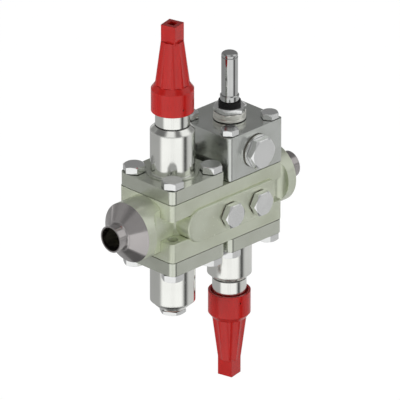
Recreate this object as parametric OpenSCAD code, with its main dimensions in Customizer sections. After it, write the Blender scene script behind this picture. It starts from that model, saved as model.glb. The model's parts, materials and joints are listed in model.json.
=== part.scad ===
// Refrigeration valve station: a cast housing that is welded into a pipe line, with four
// bolted-in modules. Stop valve top left, filter bottom left, solenoid valve top right,
// regulating valve bottom right. Millimetres, +X along the flow, +Z up.
// The origin is the centre of the inlet pipe end, so the outlet end lies at x = station_len.
// The plugged side faces -Y.

/* [Line] */
// Length from the inlet pipe end to the outlet pipe end
station_len = 202; // [196:1:230]
// Distance between the axes of the left and right modules
module_pitch = 64; // [62:1:74]
// Outside diameter of the welding stubs
stub_od = 22.2; // [21:0.1:24]
// Inside diameter of the stubs and of the inlet and outlet bores
stub_id = 19.4; // [15:0.1:19.6]
// Length of stub, fillet and cone beyond the cast boss
weld_len = 18.3; // [17:0.1:24]
// Length of the machined cone
cone_len = 9.3; // [6:0.1:10]
// Diameter of the cone at its thin end
cone_end_d = 25.4; // [24.6:0.1:30]
// Diameter of the cast boss at each end
flow_boss_d = 49.6; // [44:0.1:50]

/* [Housing] */
// Width of the housing over its rails
body_w = 60; // [60:1:66]
// Height of the housing from cover face to cover face
body_h = 50; // [50:1:56]
// Corner radius of the rails in plan
body_corner_r = 4; // [1:0.5:5]
// Thickness of the top rail
top_rail_t = 14.5; // [14:0.1:16]
// Thickness of the bottom rail
bottom_rail_t = 16.4; // [14:0.1:17]
// Rounding along the inner edges of the rails
rail_round = 1.2; // [0.5:0.1:3]
// Diameter of the waist round each module
waist_d = 46; // [45:0.5:51.5]
// Width of the web that joins the two waists
web_w = 54; // [50:0.5:56]
// Reach of that web beyond the axis of each module
web_reach = 13; // [12.5:0.5:16]
// Corner radius of that web in plan
web_corner_r = 12; // [8:0.5:13]
// Width of the neck between each cast boss and its waist
neck_w = 33.6; // [28:0.1:34]
// Radius of the hollow on each side of that neck
neck_hollow_r = 8; // [5:0.5:9]

/* [Chambers] */
// Diameter of the valve chambers
chamber_d = 40; // [38:0.1:41]
// Diameter of the filter chamber
filter_chamber_d = 36; // [34:0.1:37]
// Distance of the near face of each seat web from the flow axis
web_near = 6; // [5.5:0.1:6.5]
// Thickness of each seat web
web_t = 4; // [3.9:0.1:5]
// Diameter of the stop valve port
stop_port_d = 20; // [16:0.1:20.2]
// Diameter of the port that the solenoid and the regulating valve share
main_port_d = 19; // [18.8:0.1:19.6]
// Diameter of the passage between the modules
passage_d = 12; // [8:0.1:12.5]
// Distance of the passage's level runs from the flow axis
passage_z = 17; // [16.5:0.1:17.5]

/* [Service ports] */
// Distance between the service ports
port_spacing = 32; // [30:1:36]
// Diameter of the port bosses
port_boss_d = 28; // [26:0.5:29.5]
// Distance of the boss faces from the flow axis
port_face_y = 32.5; // [31.5:0.1:38]
// Diameter of the blank boss on the left module
blank_boss_d = 27; // [25:0.5:34]
// Diameter of the port plugs' shanks
port_shank_d = 16.4; // [14:0.1:18]
// Length of the port plugs' shanks below the boss face
port_shank_len = 8; // [6:0.5:9]
// Diameter of the bores behind the port plugs
port_bore_d = 10; // [6:0.5:11]
// Size of the port plugs' heads across flats
port_plug_af = 19; // [17:0.5:22]
// Height of the port plugs' heads
port_head_h = 6; // [4:0.1:8]
// Outside diameter of the port gaskets
port_gasket_d = 19.6; // [19:0.1:26]
// Thickness of the port gaskets
port_gasket_t = 1; // [0.8:0.1:2.5]

/* [Covers] */
// Width of the square cover plates
cover_w = 60; // [59:0.5:61]
// Thickness of the cover plates
cover_t = 12; // [9:0.5:15]
// Corner radius of the cover plates
cover_corner_r = 5; // [2:0.5:6]
// Depth and height of the relief round the lower rims of covers and block
rim_relief = 0.6; // [0.3:0.1:0.9]
// Diameter of the raised ring on each cover plate
ring_d = 42; // [40:0.5:43]
// Height of the raised ring
ring_h = 0.8; // [0.4:0.1:1.5]
// Length of the spigots that centre the covers in the housing
spigot_len = 4; // [3:0.1:5]
// Outside diameter of the cover gaskets
gasket_d = 47; // [45:0.1:48]
// Thickness of the cover gaskets
gasket_t = 1.2; // [0.8:0.1:1.6]

/* [Bolts] */
// Thread diameter of the cover bolts
bolt_d = 10; // [8:0.5:10]
// Core diameter of the cover bolts' threads
bolt_core_d = 8.4; // [6:0.1:8.6]
// Size of the cover bolts' heads across flats
bolt_af = 16; // [14:0.5:17]
// Height of the cover bolts' heads
bolt_head_h = 6.4; // [5:0.1:8]
// Distance of the cover bolts from the module axis along X and Y
bolt_at = 21.5; // [21:0.1:22]
// Length of thread in the housing
bolt_grip = 13; // [10:0.5:14]
// Thread diameter of the solenoid module's bolts
block_bolt_d = 8; // [6:0.5:8]
// Core diameter of the solenoid module's bolt threads
block_bolt_core_d = 6.7; // [5:0.1:6.8]
// Size of the solenoid module's bolt heads across flats
block_bolt_af = 13; // [11:0.5:14]
// Height of the solenoid module's bolt heads
block_bolt_head_h = 5.3; // [4:0.1:7]
// Distance of the solenoid module's bolts from the module axis
block_bolt_at = 22.5; // [22:0.1:22.8]

/* [Stop and regulating valve] */
// Diameter of the polished bonnets
bonnet_d = 36; // [34:0.1:37]
// Height of the stop valve's bonnet above the housing
stop_bonnet_h = 49; // [46:0.5:60]
// Height of the regulating valve's bonnet below the housing
reg_bonnet_h = 46.6; // [46:0.5:60]
// Diameter of the necks that carry the caps
neck_d = 27.7; // [27:0.1:28.5]
// Length of neck in view between bonnet and cap
neck_show = 12.4; // [10:0.1:16]
// Length of neck inside the cap
neck_hidden = 12.6; // [11:0.1:14]
// Diameter of the spindles in the packing
spindle_d = 10; // [9:0.1:10.4]
// Diameter of the spindles' threads
spindle_thread_d = 12; // [11:0.1:12.4]
// Size of the square on the spindles' ends across flats
spindle_square = 7; // [6:0.1:7.5]
// Diameter of the packing chambers
packing_d = 16; // [14:0.1:17]
// Height of the packing chambers
packing_h = 17; // [15:0.5:18]
// Diameter of the valve discs
disc_d = 26; // [24:0.1:28]
// Travel of the valve discs from shut to open
valve_travel = 10; // [6:0.5:10]

/* [Seal caps] */
// Diameter of the skirts
skirt_d = 34.4; // [33.5:0.1:36]
// Height of the skirts
skirt_h = 19; // [17:0.1:22]
// Height of the slope above the skirts
shoulder_h = 4.2; // [2:0.1:6]
// Diameter of the fluted cones at the skirt
grip_d = 28.2; // [27.5:0.1:29]
// Diameter of the fluted cones at the square
grip_end_d = 18.8; // [18:0.1:22]
// Height of the fluted cones
grip_h = 37; // [34:0.5:42]
// Number of flutes round a cap
flutes = 10; // [8:1:12]
// Radius of the flutes
flute_r = 12; // [8:0.5:16]
// Depth of the flutes
flute_depth = 0.9; // [0.3:0.1:1]
// Width of the square end across flats
cap_square = 13.2; // [12:0.1:14]
// Height of the square end
cap_square_h = 14.3; // [10:0.1:18]
// Width of the square hole in the end
cap_hole = 6.5; // [5:0.1:7]
// Depth of the square hole
cap_hole_depth = 11; // [8:0.5:12]
// Diameter of the vent hole in the skirts
cap_vent_d = 1.4; // [1:0.1:2]
// Turn of the stop valve's cap about its axis
stop_cap_turn = 14; // [-45:1:45]
// Turn of the regulating valve's cap about its axis
reg_cap_turn = -12; // [-45:1:45]

/* [Filter] */
// Diameter of the filter housing's barrel
filter_d = 36.4; // [35:0.1:38]
// Height of the barrel below the housing
filter_h = 49.5; // [45:0.5:60]
// Diameter at the end of the barrel's cone
filter_end_d = 23; // [21:0.1:25]
// Diameter of the filter chamber inside the barrel
filter_bore_d = 31; // [30.5:0.1:32]
// Outside diameter of the filter screen
screen_d = 28; // [24:0.1:29]
// Wall of the filter screen
screen_wall = 0.8; // [0.6:0.1:1.2]
// Number of rows of windows in the screen
screen_rows = 5; // [3:1:6]
// Diameter of the drain plug's shank
drain_shank_d = 12; // [10:0.1:14]
// Length of the drain plug's shank
drain_shank_len = 7; // [5:0.1:8]
// Size of the drain plug's head across flats
drain_af = 19; // [17:0.5:21]
// Height of the drain plug's head
drain_head_h = 4; // [3:0.1:7]
// Thickness of the drain plug's gasket
drain_gasket_t = 1; // [0.8:0.1:2]

/* [Solenoid module] */
// Height of the block
block_h = 38; // [36:0.5:44]
// Corner radius of the block
block_corner_r = 3; // [1:0.5:5]
// Diameter of the servo piston's cylinder
cylinder_d = 32; // [30:0.1:33]
// Depth of the cylinder above the housing face
cylinder_h = 22; // [21:0.1:23]
// Travel of the servo piston from shut to open
piston_travel = 8; // [5:0.5:8]
// Height of the main seat ring
main_seat_h = 3; // [2:0.1:3.2]
// Wire diameter of the piston spring
piston_wire = 1.6; // [1:0.1:1.8]
// Size of the side plug's head across flats
side_plug_af = 24; // [20:0.5:27]
// Height of the side plug's head
side_head_h = 6.2; // [4:0.1:9]
// Diameter of the side plug's flange
side_flange_d = 28; // [24:0.1:29]
// Thickness of the side plug's flange
side_flange_t = 1.5; // [1:0.1:2.5]
// Thickness of the side plug's gasket
side_gasket_t = 1.2; // [0.8:0.1:2]
// Diameter of the side plug's shank
side_shank_d = 20; // [16:0.1:21]
// Length of the side plug's shank
side_shank_len = 9; // [6:0.5:10]
// Height of the side plug above the housing face
side_plug_z = 19; // [18:0.5:22]

/* [Armature] */
// Diameter of the collar on the block
collar_d = 26.4; // [24:0.1:30]
// Height of the collar
collar_h = 7; // [6:0.1:10]
// Diameter of the collar's foot in the block
collar_foot_d = 18; // [17:0.1:19]
// Diameter of the collar's counterbore, which takes the tube's flange and the nut's thread
collar_bore_d = 20; // [19:0.1:21]
// Depth of that counterbore
collar_bore_h = 5; // [4.5:0.1:6]
// Thickness of the armature tube's flange
tube_flange_t = 2; // [1.5:0.1:2.5]
// Size of the tube nut across flats
tube_nut_af = 24; // [22:0.5:27]
// Height of the tube nut
tube_nut_h = 4.5; // [3:0.1:7]
// Diameter of the rubber ring under the coil
coil_ring_d = 18; // [17:0.1:20]
// Height of the rubber ring
coil_ring_h = 4.2; // [2:0.1:5]
// Diameter of the armature tube's root
tube_root_d = 15.4; // [14.5:0.1:16]
// Length of root in view above the rubber ring
tube_root_show = 5.3; // [4:0.1:8]
// Diameter of the armature tube
tube_d = 13.4; // [12.8:0.1:14]
// Length of the armature tube above its root
tube_len = 36.2; // [34:0.1:44]
// Length of the solid core in the tube's top
core_len = 20; // [18:0.5:22]
// Diameter of the plunger
plunger_d = 11.2; // [10:0.1:11.4]
// Travel of the plunger
plunger_travel = 2.5; // [1:0.1:3]
// Wire diameter of the plunger spring
plunger_wire = 0.7; // [0.5:0.1:0.9]

/* [Clearances] */
// Radial running clearance of spindles, pistons and plungers
run_gap = 0.06; // [0.03:0.01:0.09]
// Radial clearance of screwed and pressed pieces
seat_gap = 0.05; // [0.03:0.01:0.08]
// Gap between a shut valve disc and its seat
shut_gap = 0.3; // [0.2:0.05:0.5]
// Radial clearance of the bolts in the cover plates
bolt_gap = 0.5; // [0.3:0.1:0.8]

/* [Hidden] */
$fn = 72;
eps = 0.01;

mid_x = station_len / 2;
left_x = mid_x - module_pitch / 2;
right_x = mid_x + module_pitch / 2;
port_x = right_x - port_spacing;
body_len = module_pitch + body_w;
face_z = body_h / 2;
plate_z = face_z + cover_t;
chamber_r = chamber_d / 2;
boss_x = mid_x - weld_len;
web_far = web_near + web_t;
spigot_z = face_z - spigot_len;
tap_depth = bolt_grip + 4;
cast_green = [0.69, 0.71, 0.62];
cover_green = [0.66, 0.67, 0.62];
polished = [0.80, 0.81, 0.80];
steel = [0.62, 0.62, 0.61];
zinc = [0.72, 0.72, 0.71];
cap_red = [0.72, 0.22, 0.20];

// Points of an arc round c, from angle a0 to a1 in n steps
function arc(c, r, a0, a1, n = 6) =
    [for (i = [0 : n]) let (a = a0 + (a1 - a0) * i / n) [c[0] + r * cos(a), c[1] + r * sin(a)]];

module left() { translate([left_x, 0, 0]) children(); }
module right() { translate([right_x, 0, 0]) children(); }
module flip() { mirror([0, 0, 1]) children(); }
module front() { rotate([90, 0, 0]) children(); }

// Places its children at the four corners of a square of half-width d
module corners(d) {
    for (sx = [-1, 1], sy = [-1, 1]) translate([sx * d, sy * d, 0]) children();
}

module rounded_rect(l, w, r) {
    square([l - 2 * r, w], center = true);
    square([l, w - 2 * r], center = true);
    for (sx = [-1, 1], sy = [-1, 1]) translate([sx * (l / 2 - r), sy * (w / 2 - r)]) circle(r);
}

module ring(d_out, d_in, h) {
    difference() {
        cylinder(d = d_out, h = h);
        translate([0, 0, -1]) cylinder(d = d_in, h = h + 2);
    }
}

// Hexagon head standing on z = 0, with a turned washer face below and a chamfer above
module hex_head(af, h, face_h = 0.5) {
    corner_r = af / sqrt(3);
    top_r = af / 2 * 0.96;
    drop = (corner_r - top_r) * tan(30);
    intersection() {
        cylinder(r = corner_r, h = h, $fn = 6);
        rotate_extrude()
            polygon([[0, 0], [af / 2 * 0.97, 0], [af / 2 * 0.97, face_h], [corner_r + eps, face_h],
                     [corner_r + eps, h - drop], [top_r, h], [0, h]]);
    }
}

// Bolt whose head seats on z = 0: plain shank through the clamped piece, then the thread's core
module bolt(d, core_d, af, head_h, clamp, grip) {
    hex_head(af, head_h);
    translate([0, 0, -clamp]) cylinder(d = d, h = clamp + eps);
    tip = core_d / 8;
    translate([0, 0, -clamp - grip + tip]) cylinder(d = core_d, h = grip - tip + eps);
    translate([0, 0, -clamp - grip]) cylinder(d1 = core_d - 2 * tip, d2 = core_d, h = tip);
}

// Screw plug whose head seats on z = 0, with its shank below
module plug(af, head_h, shank_d, shank_len) {
    hex_head(af, head_h);
    tip = shank_d / 16;
    translate([0, 0, tip - shank_len]) cylinder(d = shank_d, h = shank_len - tip + eps);
    translate([0, 0, -shank_len]) cylinder(d1 = shank_d - 2 * tip, d2 = shank_d, h = tip);
}

// Closed tube swept along a helix from z0 to z1, with ends cut square to the wire
module coil_spring(coil_r, wire_d, z0, z1, turns, sides = 6, steps = 14) {
    n = turns * steps;
    rise = (z1 - z0 - wire_d) / n;
    verts = [for (i = [0 : n], k = [0 : sides - 1])
        let (a = 360 * i / steps, b = 360 * k / sides, r = coil_r + wire_d / 2 * cos(b))
        [r * cos(a), r * sin(a), z0 + wire_d / 2 + rise * i + wire_d / 2 * sin(b)]];
    walls = [for (i = [0 : n - 1], k = [0 : sides - 1])
        let (p = i * sides + k, q = i * sides + (k + 1) % sides) [p, p + sides, q + sides, q]];
    ends = [[for (k = [0 : sides - 1]) k], [for (k = [sides - 1 : -1 : 0]) n * sides + k]];
    polyhedron(verts, concat(walls, ends));
}

// Housing

// Section of one rail from z0 to z1, rounded on the edges that face the waist at z0
module rail_section(half, z0, z1) {
    polygon(concat([[-half, z1]],
        arc([-half + rail_round, z0 + rail_round], rail_round, 180, 270),
        arc([half - rail_round, z0 + rail_round], rail_round, 270, 360),
        [[half, z1]]));
}

module rail(z0, z1) {
    intersection() {
        translate([0, 0, z0]) linear_extrude(z1 - z0) rounded_rect(body_len, body_w, body_corner_r);
        rotate([90, 0, 90]) translate([0, 0, -body_len])
            linear_extrude(2 * body_len) rail_section(body_w / 2, z0, z1);
        rotate([90, 0, 0]) translate([0, 0, -body_w])
            linear_extrude(2 * body_w) rail_section(body_len / 2, z0, z1);
    }
}

// One end of the flow line, from the module axis out to the pipe end, along -X
module flow_end() {
    reach = module_pitch / 2;
    out = mid_x - reach;
    // Concave fillet from the cone's thin end to the stub
    fillet = (cone_end_d - stub_od) / 2;
    cone_x = boss_x - reach;
    difference() {
        union() {
            intersection() {
                rotate([0, -90, 0]) cylinder(d = flow_boss_d, h = cone_x);
                union() {
                    translate([-cone_x, -flow_boss_d / 2, -body_h])
                        cube([cone_x - (body_w / 2 + 4), flow_boss_d, 2 * body_h]);
                    translate([-cone_x, -neck_w / 2, -body_h]) cube([cone_x, neck_w, 2 * body_h]);
                }
            }
            rotate([0, -90, 0]) rotate_extrude()
                polygon(concat([[0, cone_x - eps], [flow_boss_d / 2, cone_x - eps],
                                [flow_boss_d / 2, cone_x], [cone_end_d / 2, cone_x + cone_len]],
                    arc([stub_od / 2 + fillet, cone_x + cone_len + fillet], fillet, 270, 180),
                    [[stub_od / 2, out], [0, out]]));
        }
        for (s = [-1, 1])
            translate([-(body_w / 2 + 4), s * (neck_w / 2 + neck_hollow_r), -body_h])
                cylinder(r = neck_hollow_r, h = 2 * body_h);
    }
}

module flow_bore() {
    rotate([0, -90, 0]) translate([0, 0, chamber_r - 2.6])
        cylinder(d = stub_id, h = mid_x);
}

module tapped_holes(at, core_d) {
    corners(at) {
        translate([0, 0, face_z - tap_depth]) cylinder(d = core_d + 2 * seat_gap, h = tap_depth + 1);
        translate([0, 0, face_z - 0.8]) cylinder(d1 = core_d + 2 * seat_gap, d2 = core_d + 2, h = 0.8 + eps);
    }
}

module cover_recess() {
    translate([0, 0, face_z - gasket_t]) cylinder(d = gasket_d + 2 * seat_gap, h = gasket_t + 1);
}

// Chamber from the seat web out to the cover face
module chamber(d, from_z) {
    translate([0, 0, from_z]) cylinder(d = d, h = face_z - from_z + 1);
    cover_recess();
}

module port_hole(depth) {
    translate([0, -port_face_y - 1, 0]) rotate([-90, 0, 0]) {
        cylinder(d = port_shank_d + 2 * seat_gap, h = port_shank_len + 2);
        cylinder(d = port_bore_d, h = depth);
    }
}

module valve_housing() {
    color(cast_green) difference() {
        union() {
            translate([mid_x, 0, 0]) {
                rail(face_z - top_rail_t, face_z);
                flip() rail(face_z - bottom_rail_t, face_z);
                translate([0, 0, -face_z + 2]) linear_extrude(body_h - 4)
                    rounded_rect(module_pitch + 2 * web_reach, web_w, web_corner_r);
            }
            for (x = [left_x, right_x]) translate([x, 0, -face_z + 2]) cylinder(d = waist_d, h = body_h - 4);
            left() flow_end();
            right() mirror([1, 0, 0]) flow_end();
            for (x = [port_x, right_x])
                translate([x, 0, 0]) front() cylinder(d = port_boss_d, h = port_face_y);
            left() front() cylinder(d = blank_boss_d, h = port_face_y);
        }
        left() {
            flow_bore();
            chamber(chamber_d, -web_near);
            translate([0, 0, -web_far - 1]) cylinder(d = stop_port_d, h = web_t + 2);
            flip() chamber(filter_chamber_d, web_far);
            tapped_holes(bolt_at, bolt_core_d);
            flip() tapped_holes(bolt_at, bolt_core_d);
        }
        right() {
            mirror([1, 0, 0]) flow_bore();
            chamber(chamber_d, web_far);
            translate([0, 0, web_near - 1]) cylinder(d = main_port_d, h = web_t + 2);
            flip() chamber(chamber_d, -web_near);
            tapped_holes(block_bolt_at, block_bolt_core_d);
            flip() tapped_holes(bolt_at, bolt_core_d);
            port_hole(port_face_y + 1 - chamber_r + 1.5);
        }
        translate([left_x, 0, -passage_z]) rotate([0, 90, 0]) cylinder(d = passage_d, h = port_x - left_x);
        translate([port_x, 0, passage_z]) rotate([0, 90, 0]) cylinder(d = passage_d, h = port_spacing);
        translate([port_x, 0, -passage_z - passage_d / 2])
            cylinder(d = passage_d, h = 2 * passage_z + passage_d);
        translate([port_x, 0, 0]) port_hole(port_face_y + 1);
    }
}

// Covers, built on the top face of the housing

// Square plate of thickness t on the housing, relieved round its lower rim
module rimmed_plate(t, corner_r) {
    inner_w = cover_w - 2 * rim_relief;
    translate([0, 0, face_z]) linear_extrude(t / 2) rounded_rect(inner_w, inner_w, corner_r - rim_relief);
    translate([0, 0, face_z + rim_relief]) linear_extrude(t - rim_relief)
        rounded_rect(cover_w, cover_w, corner_r);
}

module cover_plate() {
    difference() {
        rimmed_plate(cover_t, cover_corner_r);
        corners(bolt_at) translate([0, 0, face_z - 1]) cylinder(d = bolt_d + 2 * bolt_gap, h = cover_t + 2);
    }
}

module cover_gasket(d_in) {
    color([0.25, 0.26, 0.26]) translate([0, 0, face_z - gasket_t]) ring(gasket_d, d_in, gasket_t);
}

module cover_bolts() {
    color(zinc) corners(bolt_at) translate([0, 0, plate_z])
        bolt(bolt_d, bolt_core_d, bolt_af, bolt_head_h, cover_t, bolt_grip);
}

// Stop and regulating valve. bonnet_h is the height of the bonnet's straight part above the housing.

function slope_z(bonnet_h) = face_z + bonnet_h + (bonnet_d - neck_d) / 2;
function rim_z(bonnet_h) = slope_z(bonnet_h) + neck_show;
function neck_z(bonnet_h) = rim_z(bonnet_h) + neck_hidden;
function packing_z(bonnet_h) = neck_z(bonnet_h) - packing_h;
gland_head_h = 4;
gland_len = 7;
square_len = 12;
spindle_over_neck = gland_head_h + 3 + square_len;
thread_d = spindle_thread_d + 2 * run_gap;
foot_z = -web_near + 10;
foot_h = 2.6;
foot_d = 11;
hub_z = foot_z + foot_h + 5;

module valve_cover(bonnet_h) {
    top = neck_z(bonnet_h);
    shoulder = slope_z(bonnet_h);
    difference() {
        union() {
            cover_plate();
            rotate_extrude()
                polygon([[0, spigot_z], [chamber_r - 2 * seat_gap, spigot_z],
                         [chamber_r - 2 * seat_gap, face_z + 1], [ring_d / 2, face_z + 1],
                         [ring_d / 2, plate_z + ring_h], [bonnet_d / 2, plate_z + ring_h],
                         [bonnet_d / 2, face_z + bonnet_h], [neck_d / 2, shoulder],
                         [neck_d / 2 - 0.6, shoulder], [neck_d / 2 - 0.6, shoulder + 0.9],
                         [neck_d / 2, shoulder + 0.9], [neck_d / 2, top - 1],
                         [neck_d / 2 - 1, top], [0, top]]);
        }
        rotate_extrude()
            polygon([[0, spigot_z - 1], [11, spigot_z - 1], [11, face_z + 15],
                     [thread_d / 2, face_z + 20], [thread_d / 2, packing_z(bonnet_h)],
                     [packing_d / 2, packing_z(bonnet_h)], [packing_d / 2, top + 1], [0, top + 1]]);
    }
}

module packing(bonnet_h) {
    z = packing_z(bonnet_h) + shut_gap;
    h = packing_h - gland_len - 2 * shut_gap;
    color([0.88, 0.87, 0.83]) translate([0, 0, z])
        ring(packing_d - 2 * seat_gap, spindle_d + 2 * run_gap, h);
}

module gland_nut(bonnet_h) {
    color(steel) translate([0, 0, neck_z(bonnet_h)]) difference() {
        plug(17, gland_head_h, packing_d - 2 * seat_gap, gland_len);
        translate([0, 0, -gland_len - 1])
            cylinder(d = spindle_d + 2 * run_gap, h = gland_len + gland_head_h + 2);
    }
}

// Spindle: foot in the disc's slot, thread in the bonnet, plain stem and square end
module spindle(bonnet_h) {
    thread_z = face_z + 8;
    thread_top = packing_z(bonnet_h) - valve_travel - 1;
    end_z = neck_z(bonnet_h) + spindle_over_neck;
    color([0.70, 0.70, 0.69]) {
        rotate_extrude()
            polygon([[0, foot_z + 0.2], [foot_d / 2, foot_z + 0.2], [foot_d / 2, foot_z + foot_h - 0.2],
                     [3.8, foot_z + foot_h - 0.2], [3.8, hub_z + 1], [spindle_d / 2, hub_z + 1],
                     [spindle_d / 2, thread_z], [spindle_thread_d / 2, thread_z + 1],
                     [spindle_thread_d / 2, thread_top], [spindle_d / 2, thread_top + 1],
                     [spindle_d / 2, end_z - square_len], [0, end_z - square_len]]);
        intersection() {
            translate([-spindle_square / 2, -spindle_square / 2, end_z - square_len - eps])
                cube([spindle_square, spindle_square, square_len + eps]);
            translate([0, 0, end_z - square_len - eps])
                cylinder(d = spindle_d - 0.6, h = square_len + eps);
        }
    }
}

// Slot in a disc's hub, open to +X, that the spindle's foot slides into
module foot_slot() {
    translate([0, 0, foot_z]) {
        cylinder(d = foot_d + 0.4, h = foot_h);
        translate([0, -foot_d / 2 - 0.2, 0]) cube([disc_d, foot_d + 0.4, foot_h]);
        cylinder(d = 8, h = 20);
        translate([0, -4, 0]) cube([disc_d, 8, 20]);
    }
}

// Valve disc with its hub. z is the seat's level and nose a regulating plug's length into the port.
seal_d = 25;
seal_t = 2.2;
seal_bore = 20.6;
module disc(nose) {
    z = -web_near + shut_gap;
    nose_r = main_port_d / 2 - shut_gap;
    color(steel) difference() {
        union() {
            rotate_extrude()
                polygon([[0, z + 0.4], [disc_d / 2, z + 0.4], [disc_d / 2, foot_z - 2],
                         [8.6, foot_z - 1], [8.6, hub_z], [0, hub_z]]);
            if (nose > 0)
                translate([0, 0, z + 0.4 - nose]) cylinder(r1 = nose_r - 3, r2 = nose_r, h = nose);
        }
        translate([0, 0, z - 1]) ring(seal_d + 2 * seat_gap, seal_bore - 2 * seat_gap, seal_t + 1);
        foot_slot();
    }
}

module disc_seal() {
    color([0.93, 0.93, 0.90]) translate([0, 0, -web_near + shut_gap]) ring(seal_d, seal_bore, seal_t);
}

cap_bore = neck_d + 2 * seat_gap + 0.1;
cap_seal_t = 1.5;

// Tapered grip with hollow flutes: one ridge between two flutes faces 225 degrees
module fluted_grip(z) {
    lean = atan((grip_d - grip_end_d) / 2 / grip_h);
    difference() {
        translate([0, 0, z]) cylinder(d1 = grip_d, d2 = grip_end_d, h = grip_h);
        for (i = [0 : flutes - 1])
            rotate(225 + (i + 0.5) * 360 / flutes)
                translate([grip_d / 2 - flute_depth, 0, z]) rotate([0, -lean, 0])
                    translate([flute_r, 0, -flute_r]) cylinder(r = flute_r, h = grip_h + 2 * flute_r);
    }
}

module seal_cap(bonnet_h, turn) {
    rim = rim_z(bonnet_h);
    seal = neck_z(bonnet_h) + shut_gap;
    grip_z = rim + skirt_h + shoulder_h;
    square_z = grip_z + grip_h;
    end_z = square_z + cap_square_h;
    roof = square_z - 9;
    color(cap_red) difference() {
        union() {
            translate([0, 0, rim]) cylinder(d = skirt_d, h = skirt_h);
            translate([0, 0, rim + skirt_h - eps]) cylinder(d1 = skirt_d, d2 = grip_d, h = shoulder_h + eps);
            fluted_grip(grip_z - eps);
            rotate(turn) translate([-cap_square / 2, -cap_square / 2, square_z - 2])
                cube([cap_square, cap_square, cap_square_h + 2]);
        }
        rotate_extrude()
            polygon([[0, rim - 1], [cap_bore / 2 + 1.3, rim - 1], [cap_bore / 2 + 1.3, rim + 2],
                     [cap_bore / 2, rim + 3.3], [cap_bore / 2, seal + cap_seal_t + 0.1],
                     [10.8, seal + cap_seal_t + 0.1], [10.4, seal + cap_seal_t + 9],
                     [6.4, roof], [0, roof]]);
        rotate(turn) translate([-cap_hole / 2, -cap_hole / 2, end_z - cap_hole_depth])
            cube([cap_hole, cap_hole, cap_hole_depth + 1]);
        translate([0, 0, rim + 6]) rotate([90, 0, -14]) cylinder(d = cap_vent_d, h = skirt_d, $fn = 24);
    }
}

module cap_seal(bonnet_h) {
    color([0.15, 0.15, 0.15]) translate([0, 0, neck_z(bonnet_h) + shut_gap])
        ring(cap_bore - 0.4, 22, cap_seal_t);
}

module stop_cover() { left() color(cover_green) valve_cover(stop_bonnet_h); }
module stop_cover_gasket() { left() cover_gasket(chamber_d + 0.4); }
module stop_bolts() { left() cover_bolts(); }
module stop_disc() { left() disc(0); }
module stop_disc_seal() { left() disc_seal(); }
module stop_spindle() { left() spindle(stop_bonnet_h); }
module stop_packing() { left() packing(stop_bonnet_h); }
module stop_gland_nut() { left() gland_nut(stop_bonnet_h); }
module stop_cap() { left() seal_cap(stop_bonnet_h, stop_cap_turn); }
module stop_cap_seal() { left() cap_seal(stop_bonnet_h); }

module reg_cover() { right() flip() color(cover_green) valve_cover(reg_bonnet_h); }
module reg_cover_gasket() { right() flip() cover_gasket(chamber_d + 0.4); }
module reg_bolts() { right() flip() cover_bolts(); }
module reg_disc() { right() flip() disc(5); }
module reg_disc_seal() { right() flip() disc_seal(); }
module reg_spindle() { right() flip() spindle(reg_bonnet_h); }
module reg_packing() { right() flip() packing(reg_bonnet_h); }
module reg_gland_nut() { right() flip() gland_nut(reg_bonnet_h); }
module reg_cap() { right() flip() seal_cap(reg_bonnet_h, -reg_cap_turn); }
module reg_cap_seal() { right() flip() cap_seal(reg_bonnet_h); }

// Filter, hanging below the left module

filter_cone_h = (filter_d - filter_end_d) / 2;
filter_end_z = face_z + filter_h + filter_cone_h;
screen_z0 = web_far;
screen_z1 = face_z + filter_h - 8;

module filter_cover() {
    left() flip() color(cover_green) difference() {
        union() {
            cover_plate();
            rotate_extrude()
                polygon([[0, spigot_z], [filter_chamber_d / 2 - 2 * seat_gap, spigot_z],
                         [filter_chamber_d / 2 - 2 * seat_gap, face_z + 1], [ring_d / 2, face_z + 1],
                         [ring_d / 2, plate_z + ring_h], [filter_d / 2, plate_z + ring_h],
                         [filter_d / 2, face_z + filter_h], [filter_end_d / 2, filter_end_z],
                         [0, filter_end_z]]);
        }
        rotate_extrude()
            polygon([[0, spigot_z - 1], [filter_bore_d / 2, spigot_z - 1], [filter_bore_d / 2, screen_z1],
                     [screen_d / 2 - 1.6, screen_z1], [drain_shank_d / 2, screen_z1 + 6],
                     [0, screen_z1 + 6]]);
        translate([0, 0, screen_z1 + 5]) cylinder(d = drain_shank_d + 2 * seat_gap, h = 30);
    }
}

// Screen: a thin tube with solid end bands and rows of windows
module filter_screen() {
    band = 4;
    pitch_z = (screen_z1 - screen_z0 - band) / screen_rows;
    left() flip() color([0.75, 0.75, 0.73]) difference() {
        translate([0, 0, screen_z0]) ring(screen_d, screen_d - 2 * screen_wall, screen_z1 - screen_z0);
        for (row = [0 : screen_rows - 1], k = [0 : 4])
            translate([0, 0, screen_z0 + band + row * pitch_z]) rotate(k * 36)
                translate([-screen_d, -3, 0]) cube([2 * screen_d, 6, pitch_z - band]);
    }
}

module filter_cover_gasket() { left() flip() cover_gasket(filter_chamber_d + 0.4); }
module filter_bolts() { left() flip() cover_bolts(); }
module drain_gasket() {
    left() flip() color([0.72, 0.45, 0.25]) translate([0, 0, filter_end_z])
        ring(20, drain_shank_d + 0.2, drain_gasket_t);
}
module drain_plug() {
    left() flip() color(zinc) translate([0, 0, filter_end_z + drain_gasket_t])
        plug(drain_af, drain_head_h, drain_shank_d, drain_shank_len + drain_gasket_t);
}

// Solenoid module on top of the right module

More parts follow.
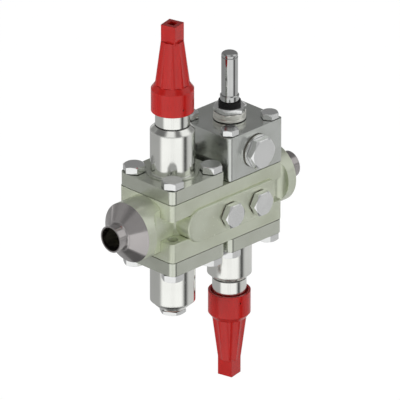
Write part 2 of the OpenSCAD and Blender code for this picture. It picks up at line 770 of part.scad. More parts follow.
block_z = face_z + block_h;
cylinder_z = face_z + cylinder_h;
seat_top = web_far + main_seat_h;
piston_z0 = face_z - 1;
piston_top = cylinder_z - piston_travel - 1;
spring_floor = piston_top - 8;
pilot_z = block_z - 3;
collar_z = block_z + collar_h;
nut_z = collar_z + tube_nut_h;
ring_z = nut_z + coil_ring_h;
root_z = ring_z + tube_root_show;
tube_z = root_z + tube_len;
core_z = tube_z - core_len;
core_gap = 1.5;
plunger_top = core_z - plunger_travel - core_gap;
plunger_bore = plunger_d + 2 * run_gap;
collar_foot_z = pilot_z - 2;
nut_spigot = collar_bore_h - tube_flange_t;

module solenoid_block() {
    right() color(zinc) difference() {
        union() {
            rimmed_plate(block_h, block_corner_r);
            translate([0, 0, spigot_z]) cylinder(d = chamber_d - 4 * seat_gap, h = spigot_len + 1);
        }
        corners(block_bolt_at)
            translate([0, 0, face_z - 1]) cylinder(d = block_bolt_d + 2 * bolt_gap, h = block_h + 2);
        translate([0, 0, spigot_z - 1]) cylinder(d = cylinder_d, h = cylinder_z - spigot_z + 1);
        translate([0, 0, cylinder_z - 1]) cylinder(d = 3, h = block_h);
        translate([0, 0, pilot_z - 6]) cylinder(d = 10 + 2 * seat_gap, h = 20);
        translate([0, 0, collar_foot_z]) cylinder(d = collar_foot_d + 2 * seat_gap, h = 20);
        translate([0, -cover_w / 2, face_z + side_plug_z]) rotate([-90, 0, 0]) {
            translate([0, 0, -1]) cylinder(d = side_shank_d + 2 * seat_gap, h = side_shank_len + 2);
            cylinder(d = 5, h = cover_w / 2 - cylinder_d / 2 + 1);
        }
    }
}

module solenoid_block_gasket() { right() cover_gasket(chamber_d + 0.4); }

module solenoid_bolts() {
    right() color(zinc) corners(block_bolt_at) translate([0, 0, block_z])
        bolt(block_bolt_d, block_bolt_core_d, block_bolt_af, block_bolt_head_h, block_h, bolt_grip);
}

module main_seat_ring() {
    right() color(steel) translate([0, 0, web_far]) ring(main_port_d + 7, main_port_d, main_seat_h);
}

module servo_piston() {
    skirt_r = cylinder_d / 2 - run_gap;
    right() color(steel) difference() {
        rotate_extrude()
            polygon([[0, seat_top + shut_gap + 0.4], [13, seat_top + shut_gap + 0.4],
                     [13, seat_top + 5], [11, seat_top + 6], [11, piston_z0], [skirt_r, piston_z0],
                     [skirt_r, piston_z0 + 3], [skirt_r - 2, piston_z0 + 3],
                     [skirt_r - 2, piston_z0 + 5], [skirt_r, piston_z0 + 5],
                     [skirt_r, piston_top], [0, piston_top]]);
        translate([0, 0, spring_floor]) cylinder(d = 24, h = 20);
        translate([0, 0, seat_top + shut_gap - 1]) ring(25, 19, 3.4);
    }
}

module piston_seal() {
    right() color([0.93, 0.93, 0.90]) translate([0, 0, seat_top + shut_gap])
        ring(25 - 2 * seat_gap, 19 + 2 * seat_gap, 2.4);
}

module piston_ring() {
    right() color([0.30, 0.27, 0.24]) translate([0, 0, piston_z0 + 3 + seat_gap])
        ring(cylinder_d - 2 * run_gap, cylinder_d - 2 * run_gap - 4 + 2 * seat_gap, 2 - 2 * seat_gap);
}

module piston_spring() {
    right() color([0.55, 0.55, 0.55])
        coil_spring(9, piston_wire, spring_floor + 0.2, cylinder_z - 0.2, 5);
}

module side_plug() {
    right() color(zinc)
        translate([0, -cover_w / 2 - side_gasket_t, face_z + side_plug_z]) rotate([90, 0, 0]) {
            cylinder(d = side_flange_d, h = side_flange_t);
            translate([0, 0, side_flange_t]) hex_head(side_plug_af, side_head_h, 0.1);
            translate([0, 0, -side_shank_len]) cylinder(d = side_shank_d, h = side_shank_len + eps);
        }
}

module side_plug_gasket() {
    right() color([0.30, 0.30, 0.30])
        translate([0, -cover_w / 2, face_z + side_plug_z]) rotate([90, 0, 0])
            ring(side_flange_d, side_shank_d + 0.2, side_gasket_t);
}

module pilot_seat() {
    right() color([0.78, 0.62, 0.34]) translate([0, 0, pilot_z - 6]) difference() {
        union() {
            cylinder(d = 10, h = 3.6);
            translate([0, 0, 3.5]) cylinder(d1 = 6, d2 = 3.6, h = 2.5);
        }
        translate([0, 0, -1]) cylinder(d = 1.8, h = 10);
    }
}

module tube_collar() {
    right() color([0.70, 0.69, 0.60]) difference() {
        rotate_extrude()
            polygon([[0, collar_foot_z], [collar_foot_d / 2, collar_foot_z],
                     [collar_foot_d / 2, block_z], [collar_d / 2 - 0.8, block_z],
                     [collar_d / 2, block_z + 0.8], [collar_d / 2, block_z + 2.4],
                     [collar_d / 2 - 0.5, block_z + 2.9], [collar_d / 2, block_z + 3.4],
                     [collar_d / 2, collar_z - 0.8], [collar_d / 2 - 0.8, collar_z], [0, collar_z]]);
        translate([0, 0, collar_foot_z - 1]) cylinder(d = plunger_bore, h = collar_z - collar_foot_z);
        translate([0, 0, collar_z - collar_bore_h])
            cylinder(d = collar_bore_d + 2 * seat_gap, h = collar_bore_h + 1);
    }
}

module tube_nut() {
    right() color(zinc) translate([0, 0, collar_z]) difference() {
        union() {
            rotate(30) hex_head(tube_nut_af, tube_nut_h, 0.3);
            translate([0, 0, -nut_spigot]) cylinder(d = collar_bore_d, h = nut_spigot + eps);
        }
        translate([0, 0, -nut_spigot - 1])
            cylinder(d = tube_root_d + 2 * seat_gap, h = nut_spigot + tube_nut_h + 2);
    }
}

// Armature tube: flanged foot under the nut, thick root, thin tube with a solid core at its top
module armature_tube() {
    r = tube_d / 2;
    flange_r = collar_bore_d / 2 - 0.1;
    groove_z = tube_z - 4;
    right() color(polished) difference() {
        rotate_extrude()
            polygon(concat([[0, collar_z - collar_bore_h], [flange_r, collar_z - collar_bore_h],
                            [flange_r, collar_z - nut_spigot], [tube_root_d / 2, collar_z - nut_spigot],
                            [tube_root_d / 2, root_z - 0.6],
                            [tube_root_d / 2 - 0.6, root_z], [r, root_z], [r, groove_z],
                            [r - 0.6, groove_z + 0.3], [r - 0.6, groove_z + 1], [r, groove_z + 1.3]],
                arc([r - 2.2, tube_z - 2.2], 2.2, 0, 90), [[0, tube_z]]));
        translate([0, 0, collar_z - collar_bore_h - 1])
            cylinder(d = plunger_bore, h = core_z - collar_z + collar_bore_h + 1);
    }
}

module plunger() {
    right() color(steel) difference() {
        rotate_extrude()
            polygon([[0, pilot_z + shut_gap], [2.4, pilot_z + shut_gap], [2.4, pilot_z + 3],
                     [plunger_d / 2, pilot_z + 5], [plunger_d / 2, plunger_top], [0, plunger_top]]);
        translate([0, 0, plunger_top - 9]) cylinder(d = 7.4, h = 10);
    }
}

module plunger_spring() {
    right() color([0.55, 0.55, 0.55])
        coil_spring(2.8, plunger_wire, plunger_top - 8.9, core_z - 0.1, 7, 6, 10);
}

module coil_ring() {
    right() color([0.12, 0.12, 0.12]) translate([0, 0, nut_z])
        ring(coil_ring_d, tube_root_d + 2 * seat_gap, coil_ring_h);
}

// Service port plugs in the housing's front

module port_plug() {
    color(zinc) translate([0, -port_face_y - port_gasket_t, 0]) front()
        plug(port_plug_af, port_head_h, port_shank_d, port_shank_len + port_gasket_t);
}
module port_gasket() {
    color([0.20, 0.20, 0.20]) translate([0, -port_face_y, 0]) front()
        ring(port_gasket_d, port_shank_d + 0.2, port_gasket_t);
}
module mid_port_plug() { translate([port_x, 0, 0]) port_plug(); }
module mid_port_gasket() { translate([port_x, 0, 0]) port_gasket(); }
module outlet_port_plug() { right() port_plug(); }
module outlet_port_gasket() { right() port_gasket(); }

valve_housing();
stop_cover();
stop_cover_gasket();
stop_bolts();
stop_disc();
stop_disc_seal();
stop_spindle();
stop_packing();
stop_gland_nut();
stop_cap();
stop_cap_seal();
filter_cover();
filter_cover_gasket();
filter_bolts();
filter_screen();
drain_plug();
drain_gasket();
solenoid_block();
solenoid_block_gasket();
solenoid_bolts();
main_seat_ring();
servo_piston();
piston_ring();
piston_seal();
piston_spring();
side_plug();
side_plug_gasket();
pilot_seat();
tube_collar();
tube_nut();
armature_tube();
plunger();
plunger_spring();
coil_ring();
reg_cover();
reg_cover_gasket();
reg_bolts();
reg_disc();
reg_disc_seal();
reg_spindle();
reg_packing();
reg_gland_nut();
reg_cap();
reg_cap_seal();
mid_port_plug();
mid_port_gasket();
outlet_port_plug();
outlet_port_gasket();
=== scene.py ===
"""Finishes, port pad, pale studio and camera for a weld-in refrigeration valve station.

Metres, in the part's frame: origin at the centre of the inlet pipe's end, +X along the flow,
-Y the side with the service ports, +Z up through the stop valve and the solenoid valve.
"""

import json
import math

import bmesh
import bpy
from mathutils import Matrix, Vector


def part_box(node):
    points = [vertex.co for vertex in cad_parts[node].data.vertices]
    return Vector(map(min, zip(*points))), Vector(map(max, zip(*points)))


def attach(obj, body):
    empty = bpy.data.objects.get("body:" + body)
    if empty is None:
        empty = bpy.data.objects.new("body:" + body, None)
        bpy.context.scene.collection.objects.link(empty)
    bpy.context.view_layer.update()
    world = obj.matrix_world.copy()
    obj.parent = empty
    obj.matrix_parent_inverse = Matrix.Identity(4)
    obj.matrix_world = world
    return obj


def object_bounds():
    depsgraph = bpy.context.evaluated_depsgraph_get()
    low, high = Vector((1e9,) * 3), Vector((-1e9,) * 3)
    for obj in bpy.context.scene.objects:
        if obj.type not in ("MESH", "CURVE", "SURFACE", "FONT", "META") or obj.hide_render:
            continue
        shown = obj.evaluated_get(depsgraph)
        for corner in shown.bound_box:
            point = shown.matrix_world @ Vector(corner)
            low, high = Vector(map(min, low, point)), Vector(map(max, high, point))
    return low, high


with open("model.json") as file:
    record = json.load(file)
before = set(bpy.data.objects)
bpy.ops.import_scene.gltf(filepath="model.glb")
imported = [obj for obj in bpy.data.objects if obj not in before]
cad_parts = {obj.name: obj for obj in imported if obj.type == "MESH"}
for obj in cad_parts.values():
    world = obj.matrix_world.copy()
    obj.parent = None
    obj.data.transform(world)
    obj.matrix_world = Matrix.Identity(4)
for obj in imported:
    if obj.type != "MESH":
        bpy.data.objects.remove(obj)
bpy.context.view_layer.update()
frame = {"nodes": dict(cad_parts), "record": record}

# Places on the part
housing_low, housing_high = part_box("valve_housing")
part_mid = (housing_low + housing_high) / 2
part_mid.y = 0.0
weld_bare = 0.0183          # length of bare machined steel at each end, along the flow
bore_radius = 0.0100        # inside the pipe ends the steel is drawn darker, as painted shade in the bore
plate_top = 0.0378          # covers are turned further than this above or below the middle
groove_shade_h = 0.0009           # height of the painted shade rings drawn in the grooves under the necks
stop_neck_root = housing_high.z + 0.05315    # how far above the middle the stop valve's groove is
reg_neck_root = housing_high.z + 0.05075     # and how far below it the regulating valve's is

# Radii of softened edges
edge_round = 0.0006         # castings and plates
fine_round = 0.0003         # bolts, nuts, turned faces
block_round = 0.0012        # the solenoid valve's block
shoulder_round = 0.0020     # rolled shoulders of bonnets

# Surface detail, and where painted shade and painted highlights go
skin_grain = 700.0          # grains a metre in cast and zinc-plated skins
turning_depth = 0.00002     # depth of the marks that turning leaves
bounce_light_reach = 0.012        # painted reflected light: the primer is drawn lighter this near to another wall
casting_shade_seam = 0.0018         # painted shade: the primer is drawn darker in seams this narrow
metal_shade_seam = 0.0015         # painted shade: metal is drawn near black in seams this narrow
edge_highlight_reach = 0.0015          # painted highlight: the primer is drawn lighter this near to an outer edge

# Pad between the rails on the port side
pad_half = 0.0142           # half its height, just over the bosses that it joins
pad_reach = 0.018           # from the outlet port's axis to its right end
pad_corner = 0.004          # radius of its right corners
pad_face = -0.0326          # its face, just proud of the bosses' faces
pad_lip = 0.0014            # radius of the rounding round its face
pad_root = -0.011           # inside the waists
pad_end_steps = 32          # steps round its left end
pad_corner_steps = 8        # round each right corner
pad_lip_steps = 6           # and round the edge of its face
weld_gap = 1e-6             # points nearer than this are joined

# The photograph's view
view_azimuth = -45.0        # degrees
view_elevation = 25.0       # degrees
view_width = 0.3184         # metres that the picture takes in at the part
view_shift = (-0.0009, 0.0010)   # metres from the part's middle to the picture's middle, right and up
lens = 900.0                # mm, so long that the view is nearly parallel
sensor = 36.0               # mm
clip_near = 0.1
clip_far = 40.0

# Studio
dome_horizon = 0.36         # strength of the sky's light at the horizon
dome_overhead = 0.24        # and from dome_top up
dome_top = 0.8              # sine of an angle above the horizon
floor_size = 12.0
floor_gap = 0.0002          # between the part's lowest point and the floor
floor_grey = 0.86           # what the floor gives back as light on the part
floor_glow = 1.04           # what the camera sees of it
floor_plain = 0.95          # share of the glow in that, the rest being shaded floor
card_distance = 1.6
lamp_distance = 1.5
lamp_size = 1.1


class Nodes:
    """Builds a node tree from small named steps. A step's value is a number or another step's socket."""

    def __init__(self, tree):
        self.tree = tree

    def node(self, kind, **settings):
        made = self.tree.nodes.new(kind)
        for key, value in settings.items():
            setattr(made, key, value)
        return made

    def put(self, socket, value):
        if isinstance(value, bpy.types.NodeSocket):
            self.tree.links.new(value, socket)
        else:
            socket.default_value = value

    def math(self, operation, a, b=0.0):
        made = self.node("ShaderNodeMath", operation=operation)
        self.put(made.inputs[0], a)
        self.put(made.inputs[1], b)
        return made.outputs[0]

    def ramp(self, value, low, high, out_low=0.0, out_high=1.0):
        made = self.node("ShaderNodeMapRange", interpolation_type="SMOOTHSTEP")
        for name, setting in (("Value", value), ("From Min", low), ("From Max", high),
                              ("To Min", out_low), ("To Max", out_high)):
            self.put(made.inputs[name], setting)
        return made.outputs["Result"]

    def axis(self, letter, of):
        made = self.node("ShaderNodeSeparateXYZ")
        self.put(made.inputs[0], of)
        return made.outputs[letter]

    def mix_shader(self, share, a, b):
        made = self.node("ShaderNodeMixShader")
        for socket, value in zip(made.inputs, (share, a, b)):
            self.put(socket, value)
        return made.outputs[0]

    def glow(self, kind, strength):
        """White light of a given strength, from an Emission or a Background node."""
        made = self.node(kind)
        made.inputs["Color"].default_value = (1, 1, 1, 1)
        self.put(made.inputs["Strength"], strength)
        return made.outputs[0]

    def output(self, kind, surface):
        self.put(self.node(kind).inputs["Surface"], surface)


class Finish(Nodes):
    """One procedural material on the Principled shader."""

    def __init__(self, name):
        self.material = bpy.data.materials.new(name)
        self.material.use_nodes = True
        super().__init__(self.material.node_tree)
        self.shader = self.tree.nodes["Principled BSDF"]
        self.place = self.node("ShaderNodeTexCoord").outputs["Object"]

    def noise(self, scale, detail=3.0, rough=0.5, at=None):
        made = self.node("ShaderNodeTexNoise")
        self.put(made.inputs["Vector"], self.place if at is None else at)
        made.inputs["Scale"].default_value = scale
        made.inputs["Detail"].default_value = detail
        made.inputs["Roughness"].default_value = rough
        return made.outputs["Fac"]

    def turning(self, per_metre, detail=2.0, rough=0.5):
        """Noise drawn out into tool marks, so many a metre along X, Y and Z."""
        made = self.node("ShaderNodeMapping")
        self.put(made.inputs["Vector"], self.place)
        made.inputs["Scale"].default_value = per_metre
        return self.noise(1.0, detail, rough, at=made.outputs["Vector"])

    def blend(self, kind, share, a, b):
        made = self.node("ShaderNodeMix", data_type=kind)
        for name, value in (("Factor", share), ("A", a), ("B", b)):
            self.put(made.inputs[name], value)
        return made.outputs["Result"]

    def colour(self, share, a, b):
        return self.blend("RGBA", share, a, b)

    def number(self, share, a, b):
        return self.blend("FLOAT", share, a, b)

    def normal(self, share, a, b):
        return self.blend("VECTOR", share, a, b)

    def cloudy(self, noise, low, high):
        """Colour that drifts between low and high."""
        return self.colour(self.ramp(noise, 0.3, 0.7), low, high)

    def tint(self, under, mask, share, over):
        """Colour over on colour under where the mask is, at a share of its strength."""
        return self.colour(self.math("MULTIPLY", mask, share), under, over)

    def corners(self, reach, closed, open_):
        """0 on open faces, rising to 1 in corners, grooves and under ledges."""
        made = self.node("ShaderNodeAmbientOcclusion", samples=8)
        made.inputs["Distance"].default_value = reach
        return self.ramp(made.outputs["AO"], closed, open_, 1.0, 0.0)

    def outer_edges(self, reach, full, none):
        """0 on open faces and in hollows, rising to 1 along outer edges."""
        made = self.node("ShaderNodeAmbientOcclusion", samples=8, inside=True, only_local=True)
        made.inputs["Distance"].default_value = reach
        return self.ramp(made.outputs["AO"], full, none, 1.0, 0.0)

    def soft_edges(self, radius):
        made = self.node("ShaderNodeBevel", samples=4)
        made.inputs["Radius"].default_value = radius
        return made.outputs["Normal"]

    def bump(self, height, depth, strength, normal):
        made = self.node("ShaderNodeBump")
        self.put(made.inputs["Height"], height)
        made.inputs["Distance"].default_value = depth
        made.inputs["Strength"].default_value = strength
        self.put(made.inputs["Normal"], normal)
        return made.outputs["Normal"]

    def finish(self, **inputs):
        """Sets the shader's sockets: base_color=..., roughness=..., normal=..."""
        for key, value in inputs.items():
            self.put(self.shader.inputs[key.replace("_", " ").title().replace("Ior", "IOR")], value)
        return self.material


def rgb(red, green, blue):
    """A colour written as the screen shows it, 0 to 255, as the shader's linear values."""
    return tuple(((c / 255 + 0.055) / 1.055) ** 2.4 if c > 10 else c / 255 / 12.92
                 for c in (red, green, blue)) + (1.0,)


def casting(name):
    """Pale green primer over a fine-grained casting, with bare turned steel at the two weld ends."""
    f = Finish(name)
    from_middle = f.math("ABSOLUTE", f.math("SUBTRACT", f.axis("X", f.place), part_mid.x))
    painted_reach = (housing_high.x - housing_low.x) / 2 - weld_bare
    bare = f.math("GREATER_THAN", from_middle, painted_reach)
    across, up = f.axis("Y", f.place), f.axis("Z", f.place)
    squares = f.math("ADD", f.math("MULTIPLY", across, across), f.math("MULTIPLY", up, up))
    in_bore = f.math("LESS_THAN", f.math("SQRT", squares), bore_radius)
    cloud = f.noise(38.0)
    grain = f.noise(skin_grain, rough=0.6)
    lumps = f.noise(160.0, detail=2.0, rough=0.55)
    marks = f.turning((2600, 12, 12))
    paint = f.cloudy(cloud, rgb(195, 200, 180), rgb(206, 211, 193))
    # Painted reflected light: the primer turns cream in hollows, near other walls.
    paint = f.tint(paint, f.corners(bounce_light_reach, 0.3, 0.9), 0.9, rgb(236, 243, 214))
    # Painted shade: the primer turns dark olive in narrow seams and crevices.
    paint = f.tint(paint, f.corners(casting_shade_seam, 0.25, 0.7), 0.8, rgb(100, 108, 74))
    # Painted highlight: the primer is lighter along outer edges.
    paint = f.tint(paint, f.outer_edges(edge_highlight_reach, 0.55, 0.95), 0.7, rgb(212, 218, 196))
    steel = f.cloudy(cloud, rgb(174, 170, 169), rgb(182, 178, 177))
    # Painted shade: the steel is darker inside the pipe bores.
    steel = f.colour(in_bore, steel, rgb(108, 102, 100))
    cast_skin = f.bump(grain, 0.00008, 0.4, f.bump(lumps, 0.0004, 0.3, f.soft_edges(edge_round)))
    turned = f.bump(marks, turning_depth, 0.2, f.soft_edges(fine_round))
    return f.finish(
        base_color=f.colour(bare, paint, steel),
        metallic=f.number(bare, 0.4, 0.9),
        roughness=f.number(bare, f.ramp(grain, 0.2, 0.8, 0.20, 0.28),
                           f.ramp(marks, 0.3, 0.7, 0.10, 0.16)),
        specular_ior_level=0.9,
        normal=f.normal(bare, cast_skin, turned),
    )


def cover_steel(name):
    """Cover plates with a satin zinc skin, and bonnets and necks turned bright past the plate."""
    f = Finish(name)
    over = f.axis("Z", f.place)
    height = f.math("ABSOLUTE", over)
    bright = f.math("GREATER_THAN", height, plate_top)
    root = f.number(f.math("GREATER_THAN", over, 0.0), reg_neck_root, stop_neck_root)
    past_root = f.math("SUBTRACT", height, root)
    on_neck = f.math("GREATER_THAN", past_root, -groove_shade_h / 3)
    groove = f.math("MULTIPLY", on_neck, f.math("LESS_THAN", past_root, groove_shade_h))
    cloud = f.noise(45.0, detail=2.0)
    grain = f.noise(skin_grain, rough=0.6)
    marks = f.turning((10, 10, 2400))
    plate = f.cloudy(cloud, rgb(205, 209, 196), rgb(213, 217, 205))
    # Painted shade: the plate turns near black in narrow seams and gaps.
    plate = f.colour(f.corners(metal_shade_seam, 0.3, 0.7), plate, rgb(50, 50, 46))
    polish = f.cloudy(cloud, rgb(238, 239, 234), rgb(244, 245, 240))
    # Painted shade: a dark ring where the groove under each neck is.
    polish = f.tint(polish, groove, 0.8, rgb(40, 40, 38))
    plate_skin = f.bump(grain, 0.00003, 0.3, f.soft_edges(edge_round))
    rolled = f.normal(on_neck, f.soft_edges(shoulder_round), f.soft_edges(fine_round))
    turned = f.bump(marks, turning_depth, 0.2, rolled)
    return f.finish(
        base_color=f.colour(bright, plate, polish),
        metallic=f.number(bright, 0.88, 1.0),
        roughness=f.number(bright, f.ramp(grain, 0.2, 0.8, 0.16, 0.24),
                           f.ramp(marks, 0.3, 0.7, 0.12, 0.17)),
        normal=f.normal(bright, plate_skin, turned),
    )


def red_plastic(name):
    """Moulded red cap: glossy, with a very fine texture."""
    f = Finish(name)
    grain = f.noise(1200.0, detail=2.0, rough=0.6)
    return f.finish(
        base_color=f.cloudy(f.noise(30.0, detail=2.0), rgb(187, 25, 20), rgb(194, 29, 24)),
        roughness=f.ramp(grain, 0.25, 0.75, 0.12, 0.18),
        specular_ior_level=0.45,
        normal=f.bump(grain, 0.00002, 0.2, f.soft_edges(edge_round)),
    )


def metal(name, low, high, metallic, rough, depth=0.000006, rounded=fine_round, marks=None):
    """Plated or machined metal: a clouded colour, a fine grain or tool marks, and softened edges."""
    f = Finish(name)
    grain = f.turning(marks, detail=3.0, rough=0.6) if marks else f.noise(600.0, rough=0.6)
    skin = f.cloudy(f.noise(60.0, detail=2.0), rgb(*low), rgb(*high))
    # Painted shade: the base colour turns near black in narrow seams.
    return f.finish(
        base_color=f.colour(f.corners(metal_shade_seam, 0.3, 0.7), skin, rgb(50, 50, 47)),
        metallic=metallic,
        roughness=f.ramp(grain, 0.25, 0.75, *rough),
        normal=f.bump(grain, depth, 0.3, f.soft_edges(rounded)),
    )


def matt(name, low, high, rough, scale, depth, gloss=0.5):
    """Rubber, fibre or PTFE: no metal, dull, with a fine grain."""
    f = Finish(name)
    grain = f.noise(scale, rough=0.6)
    return f.finish(
        base_color=f.cloudy(grain, rgb(*low), rgb(*high)),
        roughness=f.ramp(grain, 0.25, 0.75, *rough),
        specular_ior_level=gloss,
        normal=f.bump(grain, depth, 0.4, f.soft_edges(fine_round)),
    )


# The record's material slots: what makes each finish, its darker and lighter colour, and its values
looks = {
    "casting": (casting,),
    "cover_steel": (cover_steel,),
    "red_cap": (red_plastic,),
    "zinc_block": (metal, (202, 205, 200), (209, 212, 208), 0.88, (0.16, 0.22), 0.000006, block_round),
    "zinc_steel": (metal, (230, 231, 230), (237, 238, 237), 0.95, (0.12, 0.18)),
    "collar_steel": (metal, (228, 228, 220), (235, 235, 228), 0.45, (0.18, 0.24)),
    "machined_steel": (metal, (182, 180, 176), (194, 192, 188), 0.9, (0.22, 0.30)),
    "tube_steel": (metal, (190, 191, 190), (200, 201, 200), 1.0, (0.06, 0.10), 0.000004, fine_round,
                   (8, 8, 2000)),
    "soft_copper": (metal, (184, 112, 78), (200, 126, 90), 0.95, (0.25, 0.35)),
    "pilot_brass": (metal, (186, 156, 84), (202, 172, 98), 0.95, (0.25, 0.35)),
    "ptfe": (matt, (222, 221, 214), (234, 233, 227), (0.35, 0.5), 600.0, 0.00003),
    "fibre": (matt, (96, 92, 84), (122, 117, 106), (0.7, 0.85), 900.0, 0.00008),
    "black_rubber": (matt, (14, 14, 14), (24, 24, 24), (0.5, 0.65), 900.0, 0.00005, 0.25),
}
finishes = {name: make(name, *values) for name, (make, *values) in looks.items()}

for piece in frame["record"]["subparts"]:
    for slot in frame["nodes"][piece["node"]].material_slots:
        slot.material = finishes[piece["material_slot"]]


def add(name, data):
    """Object in the scene with the given mesh, light or camera data."""
    made = bpy.data.objects.new(name, data)
    bpy.context.scene.collection.objects.link(made)
    return made


def middle_x(box):
    low, high = box
    return (low.x + high.x) / 2


def port_pad():
    """Cast pad that joins the blank boss and the two port bosses between the rails."""
    left_x = middle_x(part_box("stop_cap"))
    corner_x = middle_x(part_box("outlet_port_plug")) + pad_reach - pad_corner
    corner_z = pad_half - pad_corner
    # Arcs of the outline: centre's x and z, radius, first and last angle, steps
    outline = ((left_x, 0.0, pad_half, 90, 270, pad_end_steps),
               (corner_x, -corner_z, pad_corner, -90, 0, pad_corner_steps),
               (corner_x, corner_z, pad_corner, 0, 90, pad_corner_steps))
    # Rings from the root to the face: y, and how far each is drawn in
    profile = [(pad_root, 0.0), (pad_face + pad_lip, 0.0)]
    for step in range(1, pad_lip_steps + 1):
        a = math.radians(90 * step / pad_lip_steps)
        profile.append((pad_face + pad_lip * (1 - math.sin(a)), pad_lip * (1 - math.cos(a))))
    built = bmesh.new()
    rings = []
    for y, inset in profile:
        ring = []
        for x, z, radius, start, end, steps in outline:
            for step in range(steps + 1):
                a = math.radians(start + (end - start) * step / steps)
                ring.append(built.verts.new((x + (radius - inset) * math.cos(a), y,
                                             z + (radius - inset) * math.sin(a))))
        rings.append(ring)
    for back, front in zip(rings, rings[1:]):
        for i in range(len(back)):
            k = (i + 1) % len(back)
            built.faces.new((back[i], back[k], front[k], front[i]))
    built.faces.new(rings[-1])
    built.faces.new(list(reversed(rings[0])))
    bmesh.ops.remove_doubles(built, verts=built.verts, dist=weld_gap)
    bmesh.ops.recalc_face_normals(built, faces=built.faces)
    mesh = bpy.data.meshes.new("port_pad")
    built.to_mesh(mesh)
    built.free()
    mesh.materials.append(finishes["casting"])
    made = add("port_pad", mesh)
    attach(made, "station")


port_pad()

azimuth, elevation = math.radians(view_azimuth), math.radians(view_elevation)
level = Vector((math.sin(azimuth), -math.cos(azimuth), 0.0))
right = Vector((math.cos(azimuth), math.sin(azimuth), 0.0))
toward = level * math.cos(elevation) + Vector((0, 0, math.sin(elevation)))
up = toward.cross(right)
middle = Vector((part_mid.x, 0.0, 0.0))


def bearing(turn, rise):
    """Direction from the part. Degrees from the camera's side, plus to the picture's right, and degrees
    above the horizon."""
    a, e = math.radians(turn), math.radians(rise)
    return (level * math.cos(a) + right * math.sin(a)) * math.cos(e) + Vector((0, 0, math.sin(e)))


def empty_tree(owner):
    """Node tree of a material or a world, with nothing in it."""
    owner.use_nodes = True
    owner.node_tree.nodes.clear()
    return Nodes(owner.node_tree)


def aim(made, place, out):
    """Puts a lamp or the camera at a place, looking against the direction out."""
    made.location = place
    made.rotation_mode = "QUATERNION"
    made.rotation_quaternion = (-out).to_track_quat("-Z", "Y")


def light_sky():
    """White to the eye, to metal and to glass. Other surfaces get a soft dome, brighter low down."""
    world = bpy.data.worlds.new("studio")
    bpy.context.scene.world = world
    n = empty_tree(world)
    height = n.axis("Z", n.node("ShaderNodeTexCoord").outputs["Generated"])
    path = n.node("ShaderNodeLightPath").outputs
    seen = n.math("MAXIMUM", path["Is Camera Ray"],
                  n.math("MAXIMUM", path["Is Glossy Ray"], path["Is Transmission Ray"]))
    dome = n.glow("ShaderNodeBackground", n.ramp(height, 0.0, dome_top, dome_horizon, dome_overhead))
    shown = n.glow("ShaderNodeBackground", 1.0)
    n.output("ShaderNodeOutputWorld", n.mix_shader(seen, dome, shown))


def lay_floor():
    """White floor that keeps a soft share of the object's shadow."""
    material = bpy.data.materials.new("floor")
    n = empty_tree(material)
    shaded = n.node("ShaderNodeBsdfDiffuse")
    shaded.inputs["Color"].default_value = (floor_grey, floor_grey, floor_grey, 1)
    share = n.math("MULTIPLY", n.node("ShaderNodeLightPath").outputs["Is Camera Ray"], floor_plain)
    n.output("ShaderNodeOutputMaterial",
             n.mix_shader(share, shaded.outputs[0], n.glow("ShaderNodeEmission", floor_glow)))
    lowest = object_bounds()[0].z
    bpy.ops.mesh.primitive_plane_add(size=floor_size, location=(part_mid.x, 0.0, lowest - floor_gap))
    floor = bpy.context.object
    floor.name = "floor"
    floor.data.materials.append(material)
    floor.visible_glossy = False


def card_material(name, grey, fades):
    """Plain glow that fades out at the card's edges, over the given shares of its width and height."""
    material = bpy.data.materials.new(name)
    n = empty_tree(material)
    place = n.node("ShaderNodeUVMap", uv_map="across").outputs[0]
    shown = 1.0
    for letter, share in zip("XY", fades):
        if share:
            shown = n.math("MULTIPLY", shown, n.ramp(n.axis(letter, place), 0.0, share))
            shown = n.math("MULTIPLY", shown, n.ramp(n.axis(letter, place), 1.0, 1.0 - share))
    n.output("ShaderNodeOutputMaterial",
             n.mix_shader(shown, n.node("ShaderNodeBsdfTransparent").outputs[0],
                          n.glow("ShaderNodeEmission", grey)))
    return material


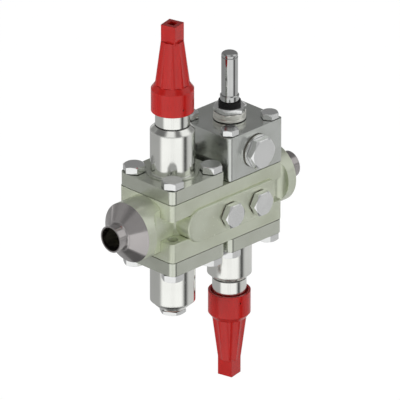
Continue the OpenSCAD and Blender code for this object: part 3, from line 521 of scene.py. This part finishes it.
def card(name, turn, rise, grey, soft, distance=card_distance, steps=(32, 12)):
    """A grey card, curved round the part, that only reflections see. turn and rise are its ends and
    soft the widths of its faded edges, sideways and up, all in degrees."""
    across, along = steps
    vertices = [middle + bearing(turn[0] + (turn[1] - turn[0]) * i / across,
                                 rise[0] + (rise[1] - rise[0]) * k / along) * distance
                for k in range(along + 1) for i in range(across + 1)]
    row = across + 1
    faces = [(a, a + 1, a + row + 1, a + row)
             for k in range(along) for a in range(k * row, k * row + across)]
    mesh = bpy.data.meshes.new(name)
    mesh.from_pydata(vertices, [], faces)
    spread = mesh.uv_layers.new(name="across")
    for corner in mesh.loops:
        spread.data[corner.index].uv = ((corner.vertex_index % row) / across,
                                        (corner.vertex_index // row) / along)
    fades = [width / abs(end - start) for width, (start, end) in zip(soft, (turn, rise))]
    mesh.materials.append(card_material(name, grey, fades))
    made = add(name, mesh)
    made.visible_camera = False
    made.visible_diffuse = False
    made.visible_shadow = False
    made.visible_transmission = False


def lamp(name, turn, rise, power):
    """A soft area lamp that gives light but no reflection of itself."""
    data = bpy.data.lights.new(name, "AREA")
    data.shape = "SQUARE"
    data.size = lamp_size
    data.energy = power
    made = add(name, data)
    out = bearing(turn, rise)
    aim(made, middle + out * lamp_distance, out)
    made.visible_camera = False
    made.visible_glossy = False


def place_camera():
    data = bpy.data.cameras.new("camera")
    data.lens = lens
    data.sensor_width = sensor
    data.clip_start = clip_near
    data.clip_end = clip_far
    made = add("camera", data)
    target = middle + right * view_shift[0] + up * view_shift[1]
    aim(made, target + toward * (view_width * lens / sensor), toward)
    bpy.context.scene.camera = made


light_sky()
lay_floor()
card("canopy", (-180, 180), (0, 89), 0.42, soft=(0, 1.5), distance=1.8, steps=(72, 16))
card("back", (105, 255), (3, 70), 0.25, soft=(20, 10))
card("left", (-185, -52), (-66, 0), 0.38, soft=(18, 3))
card("stripe", (42, 92), (-66, 0), 0.05, soft=(24, 2))
card("right", (76, 176), (-66, 0), 0.6, soft=(12, 3), distance=1.7)
card("front", (-13, 13), (-66, 0), 0.95, soft=(9, 3))
card("brow_left", (-132, -48), (31, 64), 0.15, soft=(16, 5))
card("brow", (-50, 20), (34, 80), 0.88, soft=(8, 8), distance=1.7)
card("brow_right", (20, 64), (30, 76), 0.18, soft=(10, 8))
card("flank", (60, 142), (8, 72), 0.9, soft=(12, 8), distance=1.7)
card("ground", (-180, 180), (-89, -57), 0.13, soft=(0, 6), distance=1.5, steps=(72, 8))
lamp("key", 55, 5, power=13.0)
lamp("fill", -55, 5, power=16.0)
place_camera()
bpy.context.scene.view_settings.view_transform = "Standard"
